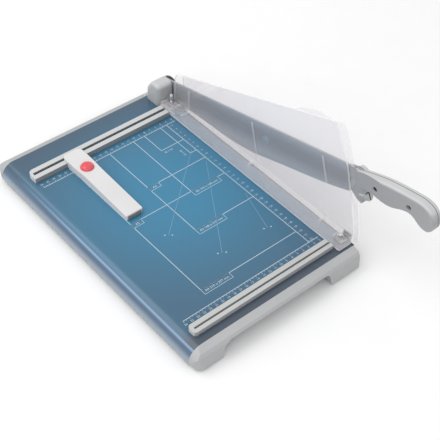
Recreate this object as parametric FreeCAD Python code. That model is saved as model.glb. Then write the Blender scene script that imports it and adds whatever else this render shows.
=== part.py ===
import FreeCAD, Part
import math
import os

V = FreeCAD.Vector
os.makedirs("parts", exist_ok=True)

# This script models a lever paper cutter for cards and sheets, raised as it stands
# ready to cut. X runs to the right, with 0 at the cutting edge of the table. Y runs to
# the back, with 0 at the front face of the back stop. Z runs up, with 0 at the table top.
# Everything is moved at the end so the middle of the floor area is the origin.

# Main sizes in millimetres
reach = 364.0            # back stop's face to the front of the sheet metal table
table_width = 284.0      # cutting edge to the left side of the table
floor_drop = 30.0        # table top to the floor
pivot_back = 41.0        # back stop's face to the pivot axis
pivot_rise = 14.0        # table top to the pivot axis
guard_height = 179.0     # table top to the highest corner of the sliding guard

# Sheet metal and blades
sheet = 1.5
bend = 20.0
side_drop = 24.0
knife_thick = 3.0
knife_drop = 20.0
blade_thick = 3.15
slip = 0.05              # gap between faces that slide on each other
clear = 0.5              # gap between pieces that must never meet
fit = 0.05               # radial gap between a turning hole and its shaft

# Rails and feet
front_rail_depth = 16.5
back_reach = 60.0
back_rail_depth = 15.0
rail_wall = 2.5
pad_height = 2.0
pad_radius = 8.0

# Stops, gauge and clamp
stop_depth = 20.5
stop_height = 7.8
front_stop_depth = 15.5
front_stop_height = 7.0
slot_width = 4.7
gauge_width = 28.0
gauge_height = 8.5
gauge_length = 138.0
button_radius = 9.8
press_travel = 1.2
clamp_width = 25.5
clamp_thick = 3.0
clamp_lift = 2.4
clamp_travel = 2.2
guard_thick = 3.0
far_guard_thick = 2.5
far_guard_offset = 5.0

# Housing, pivot and handle
housing_width = 26.4
housing_front = 27.0
housing_back = 59.0
housing_height = 36.0
disc_radius = 17.5
bolt_radius = 5.0
grip_near = 9.0
grip_far = 8.6
post_radius = 3.0
screw_radius = 2.0

# Derived levels
pad_top = pad_height - floor_drop
left = -table_width
X1 = V(1, 0, 0)
Y1 = V(0, 1, 0)
Z1 = V(0, 0, 1)


# Shape helpers
def block(x0, x1, y0, y1, z0, z1):
    return Part.makeBox(x1 - x0, y1 - y0, z1 - z0, V(x0, y0, z0))


def rod_x(radius, x0, x1, y, z):
    return Part.makeCylinder(radius, x1 - x0, V(x0, y, z), X1)


def rod_y(radius, y0, y1, x, z):
    return Part.makeCylinder(radius, y1 - y0, V(x, y0, z), Y1)


def rod_z(radius, z0, z1, x, y):
    return Part.makeCylinder(radius, z1 - z0, V(x, y, z0), Z1)


def join(shapes):
    first = shapes[0]
    rest = shapes[1:]
    if not rest:
        return first
    return first.fuse(rest).removeSplitter()


def outline(points, radii):
    # Closed flat outline through points, each corner rounded by its radius, where two
    # neighbours share a short edge in proportion to their radii
    count = len(points)
    starts = []
    edges = []
    for i in range(count):
        here = points[i]
        if radii[i] == 0:
            starts.append((here, here, None))
            continue
        to_last = (points[i - 1] - here)
        to_next = (points[(i + 1) % count] - here)
        last_room = to_last.Length * radii[i] / (radii[i] + radii[i - 1])
        next_room = to_next.Length * radii[i] / (radii[i] + radii[(i + 1) % count])
        to_last.normalize()
        to_next.normalize()
        half = to_last.getAngle(to_next) / 2
        back = min(radii[i] / math.tan(half), last_room, next_room)
        radius = back * math.tan(half)
        middle = (to_last + to_next)
        middle.normalize()
        centre = here + middle * (radius / math.sin(half))
        starts.append((here + to_last * back, here + to_next * back, centre - middle * radius))
    for i in range(count):
        begin, end, mid = starts[i]
        if mid is not None:
            edges.append(Part.Arc(begin, mid, end).toShape())
        following = starts[(i + 1) % count][0]
        if end.distanceToPoint(following) > slip / 100:
            edges.append(Part.makeLine(end, following))
    return Part.Face(Part.Wire(edges))


def same(points, radius):
    return [radius] * len(points)


def slab_yz(points, radii, x0, x1):
    flat = outline([V(x0, y, z) for y, z in points], radii)
    return flat.extrude(V(x1 - x0, 0, 0))


def slab_xz(points, radii, y0, y1):
    flat = outline([V(x, y0, z) for x, z in points], radii)
    return flat.extrude(V(0, y1 - y0, 0))


def slab_xy(points, radii, z0, z1):
    flat = outline([V(x, y, z0) for x, y in points], radii)
    return flat.extrude(V(0, 0, z1 - z0))


def turned(profile, x, y):
    # Solid turned about the upright axis at x and y, from radius and height pairs
    points = [V(x + radius, y, z) for radius, z in profile]
    points = [V(x, y, points[0].z)] + points + [V(x, y, points[-1].z)]
    flat = Part.Face(Part.makePolygon(points + [points[0]]))
    return flat.revolve(V(x, y, 0), Z1, 360)


def turned_x(profile, y, z):
    # The same about a level axis along X, from x and radius pairs
    points = [V(x, y + radius, z) for x, radius in profile]
    points = [V(points[0].x, y, z)] + points + [V(points[-1].x, y, z)]
    flat = Part.Face(Part.makePolygon(points + [points[0]]))
    return flat.revolve(V(0, y, z), X1, 360)


def coil(wire_radius, coil_radius, height, turns, x, y, low):
    # Spring of six-sided wire wound upward from the level low
    helix = Part.makeHelix(height / turns, height, coil_radius)
    ring = []
    for k in range(7):
        turn = math.pi / 3 * k
        ring.append(V(coil_radius + wire_radius * math.cos(turn), 0, wire_radius * math.sin(turn)))
    spring = Part.Wire(helix).makePipeShell([Part.makePolygon(ring)], True, True)
    spring.translate(V(x, y, low))
    return spring


def curve(points, x):
    line = Part.BSplineCurve()
    line.interpolate([V(x, y, z) for y, z in points])
    return line.toShape()


def chain(parts, x0, x1):
    # Closed flat outline made of curved and straight runs, given as (kind, points)
    edges = []
    for kind, points in parts:
        if kind == "curve":
            edges.append(curve(points, x0))
        else:
            for a, b in zip(points[:-1], points[1:]):
                edges.append(Part.makeLine(V(x0, a[0], a[1]), V(x0, b[0], b[1])))
    return Part.Face(Part.Wire(edges)).extrude(V(x1 - x0, 0, 0))


def soften(shape, radius, wanted):
    # Rounds the edges that the test picks
    return shape.makeFillet(radius, [edge for edge in shape.Edges if wanted(edge)])


def at_x(x):
    # Edges that lie wholly in the plane at x
    def test(edge):
        box = edge.BoundBox
        return abs(box.XMin - x) < slip / 10 and abs(box.XMax - x) < slip / 10
    return test


def at_z(z):
    def test(edge):
        box = edge.BoundBox
        return abs(box.ZMin - z) < slip / 10 and abs(box.ZMax - z) < slip / 10
    return test


nodes = {}


# Sheet metal table
table_right = -knife_thick
front = -reach
back = back_reach
inner_left = left + sheet
section = [(left, -side_drop), (left, 0), (table_right, 0), (table_right, -side_drop + sheet)]
table = slab_xz(section, [0, bend, sheet / 2, 0], front, back)
hollow = [(inner_left, -2 * side_drop), (inner_left, -sheet)]
hollow = hollow + [(table_right - sheet, -sheet), (table_right - sheet, -2 * side_drop)]
inside = slab_xz(hollow, [0, bend - sheet, sheet / 4, 0], front + sheet, back - sheet)
table = table.cut(inside)
flange_drop = 0.75 * side_drop
for y0, y1 in [(front - sheet, front + 2 * sheet), (back - 2 * sheet, back + sheet)]:
    table = table.cut(block(inner_left, table_right - sheet, y0, y1, -2 * side_drop, -flange_drop))

# Braces under the table, two folded channels
brace_ys = [-share * reach for share in (0.27, 0.69)]
brace_width = 0.11 * reach
brace_drop = 0.45 * side_drop
brace_left = inner_left + 1.2 * bend
brace_right = table_right - 4 * sheet
braces = []
for y in brace_ys:
    outer_half = brace_width / 2
    web_half = 0.6 * outer_half
    top = -sheet
    low = top - brace_drop
    ring = [(-outer_half, top), (-web_half, top), (-web_half + sheet, low + sheet)]
    ring = ring + [(web_half - sheet, low + sheet), (web_half, top), (outer_half, top)]
    ring = ring + [(outer_half, top - sheet), (web_half + sheet / 2, top - sheet)]
    ring = ring + [(web_half - sheet / 2, low), (-web_half + sheet / 2, low)]
    ring = ring + [(-web_half - sheet / 2, top - sheet), (-outer_half, top - sheet)]
    points = [(y + a, b) for a, b in ring]
    braces.append(slab_yz(points, same(points, 0), brace_left, brace_right))
nodes["table_braces"] = Part.makeCompound(braces)

# Front rail, a moulding whose two feet stand on pads
rail_left = left - clear
rail_right = -knife_thick / 2
rail_front = front - front_rail_depth
arch = -0.25 * floor_drop
foot_level = pad_top
left_foot = rail_left + 0.155 * table_width
right_foot = -0.19 * table_width
arch_run = 0.05 * table_width
foot_round = 0.028 * table_width
toe_round = 0.01 * table_width


def rail_face(y0, y1, right_end):
    # Front view of a rail: two feet with a low arch between them
    points = [(rail_left, foot_level), (rail_left, 0), (right_end, 0), (right_end, foot_level)]
    points = points + [(right_foot, foot_level), (right_foot - arch_run / 4, arch)]
    points = points + [(left_foot + arch_run / 4, arch), (left_foot, foot_level)]
    rounds = [foot_round, bend + clear, 0, toe_round, toe_round, arch_run / 2, arch_run, toe_round]
    return slab_xz(points, rounds, y0, y1)


shape = rail_face(rail_front - clear, front, rail_right)
shoulder_y = front - 0.64 * front_rail_depth
shoulder_z = -0.1 * floor_drop
cheek_y = front - 0.82 * front_rail_depth
cheek_z = -0.28 * floor_drop
nose = 0.14 * front_rail_depth
side = [(front, 0), (shoulder_y, shoulder_z), (cheek_y, cheek_z)]
side = side + [(rail_front, foot_level), (front, foot_level)]
profile = slab_yz(side, [0, nose, 2 * nose, 0, 0], rail_left - clear, rail_right + clear)
plan = [(rail_left, front), (rail_left, rail_front), (rail_right, rail_front), (rail_right, front)]
ends = slab_xy(plan, [0, 0.85 * front_rail_depth, rail_wall, 0], 2 * foot_level, clear)
front_rail = shape.common(profile).common(ends)
pocket_deep = front_rail_depth - 2 * rail_wall
pocket_top = -3.4 * rail_wall
pocket_low = foot_level + rail_wall


def pocket(x0, x1, y0, y1):
    # Hollow in a foot, open towards the table and rounded like the rail's own corner
    points = [(x0, pocket_low), (x0, pocket_top), (x1, pocket_top), (x1, pocket_low)]
    return slab_xz(points, [0, bend / 2, toe_round, 0], y0, y1)


left_pocket = (rail_left + 2 * rail_wall, left_foot - rail_wall)
right_pocket = (right_foot + rail_wall, rail_right - rail_wall)
for x0, x1 in [left_pocket, right_pocket]:
    front_rail = front_rail.cut(pocket(x0, x1, front - pocket_deep, front))

# Back rail, the same moulding turned to the back, and it ends at the pivot housing
rail_back = back + back_rail_depth
back_right = -housing_width - knife_thick / 4
shape = rail_face(back, rail_back + clear, back_right)
lip = 0.5 * back_rail_depth
side = [(back, 0), (back + lip, 0), (rail_back - lip / 4, -lip), (rail_back, foot_level), (back, foot_level)]
rail_side = side
rail_rounds = [0, lip, nose, 0, 0]
profile = slab_yz(rail_side, rail_rounds, rail_left - clear, back_right + clear)
plan = [(rail_left, back), (rail_left, rail_back), (back_right, rail_back), (back_right, back)]
ends = slab_xy(plan, [0, 0.9 * back_rail_depth, 0, 0], 2 * foot_level, clear)
back_rail = shape.common(profile).common(ends)
back_pocket = back_rail_depth - 2 * rail_wall
back_rail = back_rail.cut(pocket(left_pocket[0], left_pocket[1], back, back + back_pocket))

# Pivot housing, a hollow cover over the bracket with a low step in front of it
house_left = -housing_width - knife_thick / 5
house_right = -knife_thick / 5
step_front = 0.3 * housing_front
step_height = 0.057 * housing_height
cover_wall = rail_wall
slope_top = (housing_front + 0.6 * (housing_back - housing_front), housing_height)
slope_low = (housing_back - 0.03 * housing_back, 0.6 * housing_height)


def house_side(inset, low):
    # Side view of the cover, drawn inward by the inset
    points = [(housing_front + inset, low), (housing_front + inset, housing_height - inset)]
    points = points + [(slope_top[0] - inset / 2, slope_top[1] - inset)]
    points = points + [(slope_low[0] - inset, slope_low[1] - inset / 2), (housing_back - inset, low)]
    return points


front_bow = 0.2 * housing_height
side_rounds = [0, front_bow, 1.2 * front_bow, 2 * front_bow, 0]
cover = slab_yz(house_side(0, 0), side_rounds, house_left, house_right)


def left_end_edge(edge):
    return at_x(house_left)(edge) and edge.BoundBox.ZMax > slip


cover = soften(cover, 0.85 * front_bow, left_end_edge)
skirt = slab_yz(rail_side, rail_rounds, house_left, house_right)
tongue = block(house_left + cover_wall, house_right, housing_back - cover_wall, back + cover_wall, 0, cover_wall)
step = block(house_left + cover_wall, house_right, step_front, housing_front + cover_wall, 0, step_height)
room_rounds = [0, front_bow - cover_wall, front_bow, 2 * front_bow - cover_wall, 0]
room = slab_yz(house_side(cover_wall, -clear), room_rounds, house_left + cover_wall, clear)
well = block(house_left + cover_wall, house_right - cover_wall, back + cover_wall,
             rail_back - cover_wall, foot_level + cover_wall, -cover_wall)
well = well.common(slab_yz([(y, z - 2 * cover_wall) for y, z in rail_side], same(rail_side, 0), left, 0))
housing = join([cover, skirt, tongue, step]).cut(room).cut(well)

# Pivot bracket, a steel angle standing on the table inside the housing
plate = 4.0 * sheet / 1.5
bracket_front = housing_front + cover_wall + clear
bracket_back = slope_low[0] - cover_wall - clear
bracket_left = house_left + cover_wall + clear
upright_top = 0.72 * housing_height
points = [(bracket_front, 0), (bracket_back, 0), (bracket_back, 0.5 * upright_top)]
points = points + [(pivot_back + 0.6 * pivot_rise, upright_top), (bracket_front, upright_top)]
web = slab_yz(points, [0, 0, plate, plate, plate], -plate, 0)
base = block(bracket_left, -plate, bracket_front, bracket_back, 0, plate)
bracket = join([web, base]).cut(rod_x(bolt_radius, -2 * plate, plate, pivot_back, pivot_rise))
anchor_spots = []
anchor_x = (bracket_left - plate) / 2
for share in (0.2, 0.8):
    anchor_y = bracket_front + share * (bracket_back - bracket_front)
    anchor_spots.append((anchor_x, anchor_y))
anchor_radius = 1.25 * screw_radius
for x, y in anchor_spots:
    bracket = bracket.cut(rod_z(anchor_radius, -plate, 2 * plate, x, y))
    table = table.cut(rod_z(anchor_radius, -plate, plate, x, y))
nodes["pivot_bracket"] = bracket


def hexagon(radius, x0, x1, y, z):
    points = []
    for k in range(6):
        turn = math.pi / 3 * (k + 0.5)
        points.append((y + radius * math.cos(turn), z + radius * math.sin(turn)))
    return slab_yz(points, same(points, 0), x0, x1)


def hex_z(radius, z0, z1, x, y):
    points = []
    for k in range(6):
        turn = math.pi / 3 * k
        points.append((x + radius * math.cos(turn), y + radius * math.sin(turn)))
    return slab_xy(points, same(points, 0), z0, z1)


# Bolts that hold the bracket, heads under the table and nuts above
anchors = []
for x, y in anchor_spots:
    head = hex_z(2 * anchor_radius, -sheet - anchor_radius, -sheet, x, y)
    shank = rod_z(anchor_radius, -sheet, plate + 2 * anchor_radius, x, y)
    nut = hex_z(2 * anchor_radius, plate, plate + 1.6 * anchor_radius, x, y)
    anchors.append(join([head, shank, nut]))
nodes["bracket_bolts"] = Part.makeCompound(anchors)

# Blade: back end round about the pivot, a long curved edge and a tang for the handle
blade_left = slip
blade_right = blade_left + blade_thick
tall = guard_height
edge_line = [(-0.0577, 0.039), (-0.2308, 0.062), (-0.4176, 0.112), (-0.55, 0.1955)]
edge_line = edge_line + [(-0.673, 0.274), (-0.835, 0.38), (-0.9396, 0.4637)]
edge_shares = edge_line
edge_points = [(a * reach, b * tall) for a, b in edge_shares]
top_front = (-0.9203 * reach, 0.6872 * tall)
top_gap = math.hypot(top_front[0] - pivot_back, top_front[1] - pivot_rise)
top_turn = math.atan2(top_front[1] - pivot_rise, top_front[0] - pivot_back)
lean = math.asin(disc_radius / top_gap)
touch_turn = top_turn - (math.pi / 2 - lean)
top_back = (pivot_back + disc_radius * math.cos(touch_turn),
            pivot_rise + disc_radius * math.sin(touch_turn))
low_back = (pivot_back, pivot_rise - disc_radius)
tang_shares = [(-0.952, 0.695), (-1.236, 0.826), (-1.236, 0.72), (-1.05, 0.645), (-0.963, 0.58)]
tang = [(a * reach, b * tall) for a, b in tang_shares]
runs = [("curve", edge_points)]
runs.append(("line", [edge_points[-1], tang[4], tang[3], tang[2], tang[1], tang[0], top_front]))
runs.append(("line", [top_front, top_back, (pivot_back, pivot_rise), low_back, edge_points[0]]))
blade = chain(runs, blade_left, blade_right)
blade = join([blade, rod_x(disc_radius, blade_left, blade_right, pivot_back, pivot_rise)])
blade = blade.cut(rod_x(bolt_radius + fit, -plate, 2 * plate, pivot_back, pivot_rise))

# Pivot bolt, washers and nut on the blade's far side
washer_thick = 1.2
bolt_head = 4.5
nut_height = 3.2
head = hexagon(1.5 * bolt_radius, -plate - bolt_head, -plate, pivot_back, pivot_rise)
washer_start = blade_right + slip
spring_start = washer_start + washer_thick
nut_start = spring_start + washer_thick
bolt_end = nut_start + nut_height
shank = rod_x(bolt_radius, -plate, bolt_end, pivot_back, pivot_rise)
nodes["pivot_bolt"] = join([head, shank])
washer = rod_x(1.9 * bolt_radius, washer_start, spring_start, pivot_back, pivot_rise)
nodes["pivot_washer"] = washer.cut(shank)
cone = Part.makeCone(1.7 * bolt_radius, 1.3 * bolt_radius, nut_start - spring_start - slip,
                     V(spring_start, pivot_back, pivot_rise), X1)
bore = rod_x(bolt_radius, 0, bolt_end, pivot_back, pivot_rise)
nodes["disc_spring"] = cone.cut(bore)
nut = hexagon(1.6 * bolt_radius, nut_start - slip, bolt_end, pivot_back, pivot_rise)
nodes["pivot_nut"] = nut.cut(shank)

# Black cap over the nut, turning with the blade
cap_outer = disc_radius + clear
cap_start = blade_right
cap_end = bolt_end + 2.0 * washer_thick
cap_bevel = 0.16 * disc_radius
cap_side = [(cap_start, cap_outer), (cap_end - cap_bevel, cap_outer)]
cap_side = cap_side + [(cap_end - 0.35 * cap_bevel, cap_outer - 0.35 * cap_bevel), (cap_end, cap_outer - cap_bevel)]
cap = turned_x(cap_side, pivot_back, pivot_rise)
cap_room = rod_x(0.58 * disc_radius, cap_start, bolt_end + clear, pivot_back, pivot_rise)
cap = cap.cut(cap_room)
cap_screw_spots = []
for turn in (-0.25, 0.25, 0.75):
    angle = math.pi * turn
    far = 0.76 * disc_radius
    cap_screw_spots.append((pivot_back + far * math.cos(angle), pivot_rise + far * math.sin(angle)))
cap_screws = []
cap_screw = 0.75 * screw_radius
cap_seat = cap_start + 0.45 * (cap_end - cap_start)
for y, z in cap_screw_spots:
    head = rod_x(2 * cap_screw, cap_seat, cap_seat + cap_screw, y, z)
    stem = rod_x(cap_screw, blade_left + clear, cap_seat, y, z)
    cap = cap.cut(rod_x(2 * cap_screw, cap_seat, 2 * cap_end, y, z))
    cap = cap.cut(rod_x(cap_screw, 0, cap_end, y, z))
    blade = blade.cut(rod_x(cap_screw, blade_left + clear, cap_end, y, z))
    cap_screws.append(join([head, stem]))
nodes["pivot_cap"] = cap
nodes["cap_screws"] = Part.makeCompound(cap_screws)

# Stud through the blade, one third of the way back from the handle
stud_y = -0.503 * reach
stud_z = 0.352 * tall
stud_radius = 0.0165 * reach
stud_rise = 0.2 * knife_thick
stud_hole = rod_x(0.6 * stud_radius, -plate, 2 * plate, stud_y, stud_z)
blade = blade.cut(stud_hole)
stud = rod_x(stud_radius, blade_left - stud_rise, blade_left, stud_y, stud_z)
stud_far = rod_x(stud_radius, blade_right, blade_right + stud_rise, stud_y, stud_z)
stud_core = rod_x(0.6 * stud_radius, blade_left, blade_right, stud_y, stud_z)
nodes["blade_stud"] = join([stud, stud_far, stud_core])

# Handle in two halves that clamp the tang
grip_line = [(-0.9588, 0.703), (-1.0247, 0.7555), (-1.1044, 0.8101), (-1.1868, 0.8408), (-1.2582, 0.8631)]
grip_line = grip_line + [(-1.2995, 0.8408), (-1.3173, 0.7765), (-1.3228, 0.7039), (-1.3049, 0.6453)]
grip_line = grip_line + [(-1.272, 0.648), (-1.2253, 0.7039), (-1.1868, 0.6816), (-1.1401, 0.628)]
grip_line = grip_line + [(-1.0934, 0.618), (-1.0495, 0.628)]
neck_back = [(-0.967, 0.5754), (-0.93, 0.6)]


def sized(pairs):
    return [(a * reach, b * tall) for a, b in pairs]


# Front edges of the two guard walls; the handle stays outside their reach
wall_front = [(-0.9915, 0.02), (-0.9973, 0.1), (-0.978, 0.313), (-0.9643, 0.4246), (-0.9505, 0.4916)]
wall_front = wall_front + [(-0.9368, 0.592), (-0.9176, 0.715), (-0.8956, 0.81), (-0.8475, 1.0)]
far_edge = [(-1.0024, 0.0024), (-1.0011, 0.0634), (-0.9847, 0.2797), (-0.9738, 0.3684)]
far_edge = far_edge + [(-0.9193, 0.7011), (-0.9084, 0.7788), (-0.8936, 0.8509), (-0.8729, 0.9285)]
far_edge = far_edge + [(-0.8538, 0.9729)]


def farthest(pairs):
    # Largest distance of an outline from the pivot axis
    return max(math.hypot(y - pivot_back, z - pivot_rise) for y, z in sized(pairs))


near_sweep = farthest(wall_front) + 2 * clear + clamp_travel
far_sweep = farthest(far_edge) + 2 * clear
split = blade_left + blade_thick / 2
grip_points = sized(grip_line) + sized(neck_back)
grip_rounds = [0] + same(grip_line[1:], reach) + [0, 0]
near_block = slab_yz(grip_points, grip_rounds, -grip_near, split)
near_half = soften(near_block, 0.5 * grip_near, at_x(-grip_near))
far_grip = slab_yz(grip_points, grip_rounds, split, grip_far)
far_grip = soften(far_grip, 0.52 * grip_far, at_x(grip_far))

# The near half narrows towards the guard and stops short of the guard's front edge
ramp = [(-2 * grip_near, -1.1 * reach), (-1.05 * grip_near, -1.1 * reach), (-0.4 * grip_near, -0.99 * reach)]
ramp = ramp + [(-0.4 * grip_near, 0), (-2 * grip_near, 0)]
near_half = near_half.cut(slab_xy(ramp, same(ramp, 0), -guard_height, 2 * guard_height))
near_half = near_half.cut(rod_x(near_sweep, -2 * grip_near, blade_left, pivot_back, pivot_rise))
near_half = near_half.cut(blade)

# The far half carries the neck, which wraps the blade as a thin cheek on the near side,
# a round lobe on top and the lug of the stop screw
cheek_left = -0.42 * knife_thick
neck_far = 0.95 * grip_far
neck_top = sized([(-1.0, 0.711), (-0.945, 0.709), (-0.93, 0.7), (-0.93, 0.6), (-1.0, 0.6)])
bridge = slab_yz(neck_top, [0, 0.01 * reach, 0, 0, 0], cheek_left, far_guard_offset - clear)
lug_line = sized([(-1.055, 0.64), (-0.93, 0.64), (-0.939, 0.492), (-0.978, 0.437), (-0.998, 0.426)])
lug_line = lug_line + sized([(-1.005, 0.445), (-1.011, 0.56)])
lug_round = 0.012 * reach
# The lug keeps to the far side of the lower knife's cutting face, which it passes at the end of a cut
lug_left = blade_left + clear
lug = slab_yz(lug_line, [0, 0, 0, lug_round, lug_round, lug_round, 0], lug_left, neck_far)
lobe_y = -0.9725 * reach
lobe_z = 0.664 * tall
lobe = rod_x(0.032 * reach, blade_right, neck_far, lobe_y, lobe_z)
knob_y = -0.999 * reach
knob_z = 0.493 * tall
knob_x = blade_right + 0.18 * grip_far
boss_radius = 0.0165 * reach
tilt = math.radians(25)
knob_axis = V(0, -math.cos(tilt), math.sin(tilt))


def knob_rod(radius, start, end):
    # Round bar along the stop screw's axis, measured from the lug's middle
    origin = V(knob_x, knob_y, knob_z) + knob_axis * start
    return Part.makeCylinder(radius, end - start, origin, knob_axis)


knob_front = 0.013 * reach
boss = knob_rod(boss_radius, -knob_front, knob_front)
far_half = join([far_grip, bridge, lug, lobe, boss]).cut(near_half).cut(blade)
sweep_start = far_guard_offset - clear
far_half = far_half.cut(rod_x(far_sweep, sweep_start, 2 * grip_far, pivot_back, pivot_rise))

# Small screw on top of the neck
peg_radius = 0.0042 * reach
peg_x = cheek_left + 1.1 * peg_radius
peg_y = -0.948 * reach
peg_low = 0.7015 * tall
peg_top = 0.709 * tall
peg = turned([(0.6 * peg_radius, peg_low), (0.6 * peg_radius, peg_top), (peg_radius, peg_top),
              (peg_radius, peg_top + peg_radius), (0.7 * peg_radius, peg_top + 1.6 * peg_radius)], peg_x, peg_y)
far_half = far_half.cut(rod_z(0.6 * peg_radius, peg_low, peg_top, peg_x, peg_y))
far_half = far_half.cut(rod_z(1.2 * peg_radius, peg_top, 2 * peg_top, peg_x, peg_y))
nodes["neck_screw"] = peg

# Screws through the handle, heads sunk in the near half
handle_screws = []
for share_y, share_z in [(-1.063, 0.687), (-1.2143, 0.7514)]:
    y = share_y * reach
    z = share_z * tall
    seat = -0.3 * grip_near
    end = 0.72 * grip_far
    near_half = near_half.cut(rod_x(2 * screw_radius, -2 * grip_near, seat, y, z))
    near_half = near_half.cut(rod_x(screw_radius, -2 * grip_near, 2 * grip_far, y, z))
    far_half = far_half.cut(rod_x(screw_radius, -grip_near, end, y, z))
    blade = blade.cut(rod_x(screw_radius, -grip_near, 2 * grip_far, y, z))
    head = rod_x(2 * screw_radius, seat - screw_radius, seat, y, z)
    stem = rod_x(screw_radius, seat, end, y, z)
    handle_screws.append(join([head, stem]))
nodes["handle_screws"] = Part.makeCompound(handle_screws)

# Slotted stop screw in the lug, facing the front
knob_rise = 0.0135 * reach
knob_bore = 0.45 * boss_radius
far_half = far_half.cut(knob_rod(knob_bore, 0, 2 * knob_front))
far_half = far_half.cut(knob_rod(1.05 * boss_radius, knob_front, 2 * knob_front + knob_rise))
knob = join([knob_rod(0.95 * boss_radius, knob_front, knob_front + knob_rise), knob_rod(knob_bore, 0, knob_front)])
groove = 0.15 * boss_radius
groove_depth = 0.4 * knob_rise
cutter = block(-groove, groove, -2 * boss_radius, 2 * boss_radius, -groove_depth, clear)
cutter.rotate(V(0, 0, 0), X1, 90 - math.degrees(tilt))
cutter.translate(V(knob_x, knob_y, knob_z) + knob_axis * (knob_front + knob_rise))
nodes["stop_screw"] = knob.cut(cutter)
nodes["handle_near"] = near_half
nodes["handle_far"] = far_half

# Lower knife and the screws that hold it from inside the table
knife_back = 0.74 * housing_front
knife = block(-knife_thick, 0, front, knife_back, -knife_drop, 0)
flange_face = table_right - sheet
screw_z = -0.55 * knife_drop
edge_screws = []


def side_screw(y, z, face):
    head = rod_x(1.9 * screw_radius, face - screw_radius, face, y, z)
    stem = rod_x(screw_radius, face, face + sheet + 0.8 * knife_thick, y, z)
    return join([head, stem])


knife_screw_ys = [-share * reach for share in (0.15, 0.38, 0.62, 0.85)]
for y in knife_screw_ys:
    edge_screws.append(side_screw(y, screw_z, flange_face))
    hole = rod_x(screw_radius, flange_face - clear, flange_face + sheet + 0.8 * knife_thick, y, screw_z)
    table = table.cut(hole)
    knife = knife.cut(hole)

# Brackets that carry the far guard under the blade's path
strap = 1.35 * sheet
guard_left = far_guard_offset
guard_right = guard_left + far_guard_thick
strap_low = pad_top + 0.6 * clear
strap_top = strap_low + strap
bracket_half = 0.018 * reach
strap_ys = [-0.944 * reach, 0.022 * reach]
brackets = []
guard_screws = []
tab_left = flange_face - strap
hang_top = -0.3 * side_drop
guard_tab_top = 0.1 * side_drop
for y in strap_ys:
    lines = [(tab_left, hang_top), (tab_left, strap_low), (guard_right + strap, strap_low)]
    lines = lines + [(guard_right + strap, guard_tab_top), (guard_right, guard_tab_top)]
    lines = lines + [(guard_right, strap_top), (flange_face, strap_top), (flange_face, hang_top)]
    rounds = [0, strap, strap, 0, 0, 0, 0, 0]
    piece = slab_xz(lines, rounds, y - bracket_half, y + bracket_half)
    for share in (0.47, 0.8):
        hole_z = -share * knife_drop
        hole = rod_x(screw_radius, tab_left - clear, tab_left + sheet + 0.8 * knife_thick, y, hole_z)
        edge_screws.append(side_screw(y, hole_z, tab_left))
        piece = piece.cut(hole)
        table = table.cut(hole)
        knife = knife.cut(hole)
    for share in (0.12, 0.62):
        bolt_z = -share * knife_drop
        outside = guard_right + strap
        hole = rod_x(screw_radius, guard_left - clear, outside + clear, y, bolt_z)
        piece = piece.cut(hole)
        head = rod_x(1.6 * screw_radius, outside, outside + screw_radius, y, bolt_z)
        stem = rod_x(screw_radius, guard_left, outside, y, bolt_z)
        guard_screws.append((join([head, stem]), hole))
    brackets.append(piece)
nodes["guard_brackets"] = Part.makeCompound(brackets)
nodes["edge_screws"] = Part.makeCompound(edge_screws)
nodes["guard_screws"] = Part.makeCompound([screw for screw, hole in guard_screws])
nodes["lower_knife"] = knife

# Far guard, a clear wall beyond the blade
far_top = [(-0.8538, 0.9729), (-0.8238, 0.9396), (-0.7993, 0.9285), (-0.7584, 0.9396)]
far_top = far_top + [(-0.7284, 0.9229), (-0.6766, 0.8730), (-0.6438, 0.8342), (-0.6193, 0.7954)]
far_top = far_top + [(-0.5838, 0.7621)]
leg_low = -0.12
gap_top = 0.023
toe_low = 0.0024
leg_front = (-0.961, -0.9265)
rear_gap = 0.003
far_end = [far_top[-1], (0.022, 0.3), (0.022, 0.045), (0.041, -0.04), (0.041, leg_low)]
far_end = far_end + [(rear_gap, leg_low), (rear_gap, gap_top), (leg_front[1], gap_top)]
far_end = far_end + [(leg_front[1], leg_low), (leg_front[0], leg_low), (leg_front[0], toe_low)]
far_end = far_end + [far_edge[0]]
far_runs = [("curve", sized(far_edge)), ("curve", sized(far_top)), ("line", sized(far_end))]
far_guard = chain(far_runs, guard_left, guard_right)
for screw, hole in guard_screws:
    far_guard = far_guard.cut(hole)
nodes["far_guard"] = far_guard

# Clamp foot and near guard, one clear moulding that rides on two posts
foot_left = -clamp_width - 0.3 * guard_thick
foot_right = -0.65 * guard_thick
foot_low = clamp_lift
foot_top = clamp_lift + clamp_thick
foot_front = -0.992 * reach
foot_back = step_front - 1.5 * clear
plan = [(foot_left, foot_back), (foot_left, foot_front), (foot_right, foot_front), (foot_right, foot_back)]
foot = slab_xy(plan, [clamp_thick, clamp_thick, clamp_thick, clear], foot_low, foot_top)
wall_right = foot_right
wall_left = wall_right - guard_thick
wall_end = [(-0.8475, 1.0), (0.012, 0.3595), (0.027, 0.343), (0.036, 0.317), (0.0408, 0.28)]
wall_end = wall_end + [(0.0435, 0.22), (0.0467, 0.1), (0.0467, 0.025)]
wall_end = wall_end + [wall_front[0]]
wall = chain([("curve", sized(wall_front)), ("line", sized(wall_end))], wall_left, wall_right)
boss_top = 0.053 * tall
boss_half = 2.8 * post_radius
post_x = wall_left - 0.68 * boss_half
post_ys = [0.575 * housing_front, -0.953 * reach]
spring_room = 1.75 * post_radius
ledge = boss_top - 0.9 * clamp_thick
platform_back = housing_front - 3 * clear
platform = [(foot_left + clamp_thick / 2, platform_back), (foot_left + clamp_thick / 2, -0.051 * reach)]
platform = platform + [(wall_right, -0.051 * reach), (wall_right, platform_back)]
platform_rounds = [clamp_thick, 0.04 * reach, 0, 0]
bosses = [slab_xy(platform, platform_rounds, foot_low + step_height, boss_top)]
front_y0 = post_ys[1] - boss_half
front_y1 = post_ys[1] + boss_half
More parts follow.
